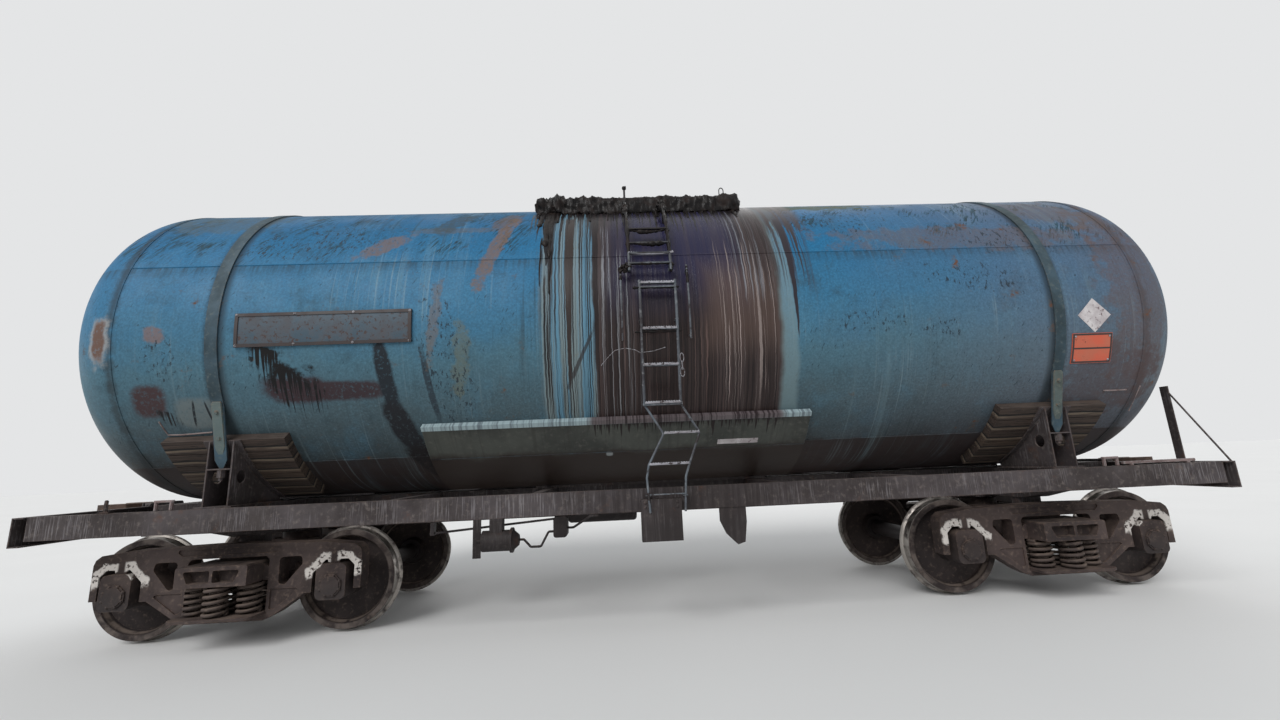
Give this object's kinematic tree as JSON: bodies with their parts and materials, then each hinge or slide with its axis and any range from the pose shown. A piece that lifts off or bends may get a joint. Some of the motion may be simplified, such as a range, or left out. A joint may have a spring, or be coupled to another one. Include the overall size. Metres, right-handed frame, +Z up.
{
  "type": "railway tank car",
  "caption": "Heated tank car for dark oil: cylindrical tank on a flat frame with straps, ladders, drain valve, centre couplers and swivelling cast bogies",
  "frame": {"origin": "middle of the car on the level that its wheel flange tips stand on", "axes": "+X along the car, +Y to its far side, +Z up"},
  "size_m": [12.013, 3.4664, 4.6624],
  "materials": {
    "tank_paint": "weathered teal-blue gloss paint, tar stained",
    "frame_steel": "dull dark paint, dusty, streaked",
    "bogie_cast": "rough cast steel with brown dust and oil",
    "wheel_steel": "dark rolled steel, bright worn tread",
    "spring_steel": "dusty coil springs",
    "wood": "old oil-soaked timber",
    "ladder_steel": "worn grey-blue paint with tar",
    "platform_tar": "steel caked in dried tar",
    "plate_number": "painted plate, faded",
    "plate_hazard": "orange enamel plate, faded",
    "strap_steel": "painted strap, dusty",
    "jacket_sheet": "grey-blue sheet with tar",
    "valve_steel": "tar-coated casting",
    "coupler_cast": "rusty cast steel"
  },
  "bodies": {
    "car": {"air_distributor": "frame_steel", "air_reservoir": "frame_steel", "body_bolsters": "frame_steel", "brake_cylinder": "frame_steel", "brake_rods": "frame_steel", "centre_plates": "frame_steel", "centre_sill": "frame_steel", "cross_bearers": "frame_steel", "draft_gear": "frame_steel", "drain_valve": "valve_steel", "end_beams": "frame_steel", "end_handrails": "frame_steel", "grab_rails": "ladder_steel", "hanging_brackets": "frame_steel", "hazard_plates": "plate_hazard", "heating_jacket": "jacket_sheet", "ladder_far": "ladder_steel", "ladder_near": "ladder_steel", "ladder_steps": "frame_steel", "manhole_neck": "tank_paint", "middle_anchors": "frame_steel", "number_plates": "plate_number", "platforms": "platform_tar", "saddles": "frame_steel", "safety_valve": "valve_steel", "side_bearers": "frame_steel", "side_sills": "frame_steel", "strap_anchors": "frame_steel", "straps": "strap_steel", "strikers": "frame_steel", "tank_shell": "tank_paint", "uncoupling_rods": "frame_steel", "wood_bars": "wood"},
    "bogie_left": {"axle_boxes_left": "bogie_cast", "bolster_left": "bogie_cast", "brake_beams_left": "bogie_cast", "side_frame_left_far": "bogie_cast", "side_frame_left_near": "bogie_cast", "springs_left": "spring_steel", "wedges_left": "bogie_cast"},
    "bogie_right": {"axle_boxes_right": "bogie_cast", "bolster_right": "bogie_cast", "brake_beams_right": "bogie_cast", "side_frame_right_far": "bogie_cast", "side_frame_right_near": "bogie_cast", "springs_right": "spring_steel", "wedges_right": "bogie_cast"},
    "coupler_left": {"coupler_left": "coupler_cast"},
    "coupler_right": {"coupler_right": "coupler_cast"},
    "manhole_lid": {"manhole_lid": "tank_paint"},
    "wheelset_1": {"wheelset_1": "wheel_steel"},
    "wheelset_2": {"wheelset_2": "wheel_steel"},
    "wheelset_3": {"wheelset_3": "wheel_steel"},
    "wheelset_4": {"wheelset_4": "wheel_steel"}
  },
  "joints": [
    {"name": "bogie_left_swivel", "type": "hinge", "parent": "car", "child": "bogie_left", "pos_m": [-3.9, 0, 0.8], "axis": [0, 0, 1], "range_deg": [-4, 4]},
    {"name": "bogie_right_swivel", "type": "hinge", "parent": "car", "child": "bogie_right", "pos_m": [3.9, 0, 0.8], "axis": [0, 0, 1], "range_deg": [-4, 4]},
    {"name": "coupler_left_swing", "type": "hinge", "parent": "car", "child": "coupler_left", "pos_m": [-5, 0, 1.088], "axis": [0, 0, 1], "range_deg": [-8, 8]},
    {"name": "coupler_right_swing", "type": "hinge", "parent": "car", "child": "coupler_right", "pos_m": [5, 0, 1.088], "axis": [0, 0, 1], "range_deg": [-8, 8]},
    {"name": "lid_hinge", "type": "hinge", "parent": "car", "child": "manhole_lid", "pos_m": [0.405, 0, 4.596], "axis": [0, 1, 0], "range_deg": [0, 110]},
    {"name": "wheelset_1_spin", "type": "hinge", "parent": "bogie_left", "child": "wheelset_1", "pos_m": [-4.825, 0, 0.479], "axis": [0, 1, 0], "continuous": true},
    {"name": "wheelset_2_spin", "type": "hinge", "parent": "bogie_left", "child": "wheelset_2", "pos_m": [-2.975, 0, 0.479], "axis": [0, 1, 0], "continuous": true},
    {"name": "wheelset_3_spin", "type": "hinge", "parent": "bogie_right", "child": "wheelset_3", "pos_m": [2.975, 0, 0.479], "axis": [0, 1, 0], "continuous": true},
    {"name": "wheelset_4_spin", "type": "hinge", "parent": "bogie_right", "child": "wheelset_4", "pos_m": [4.825, 0, 0.479], "axis": [0, 1, 0], "continuous": true}
  ]
}
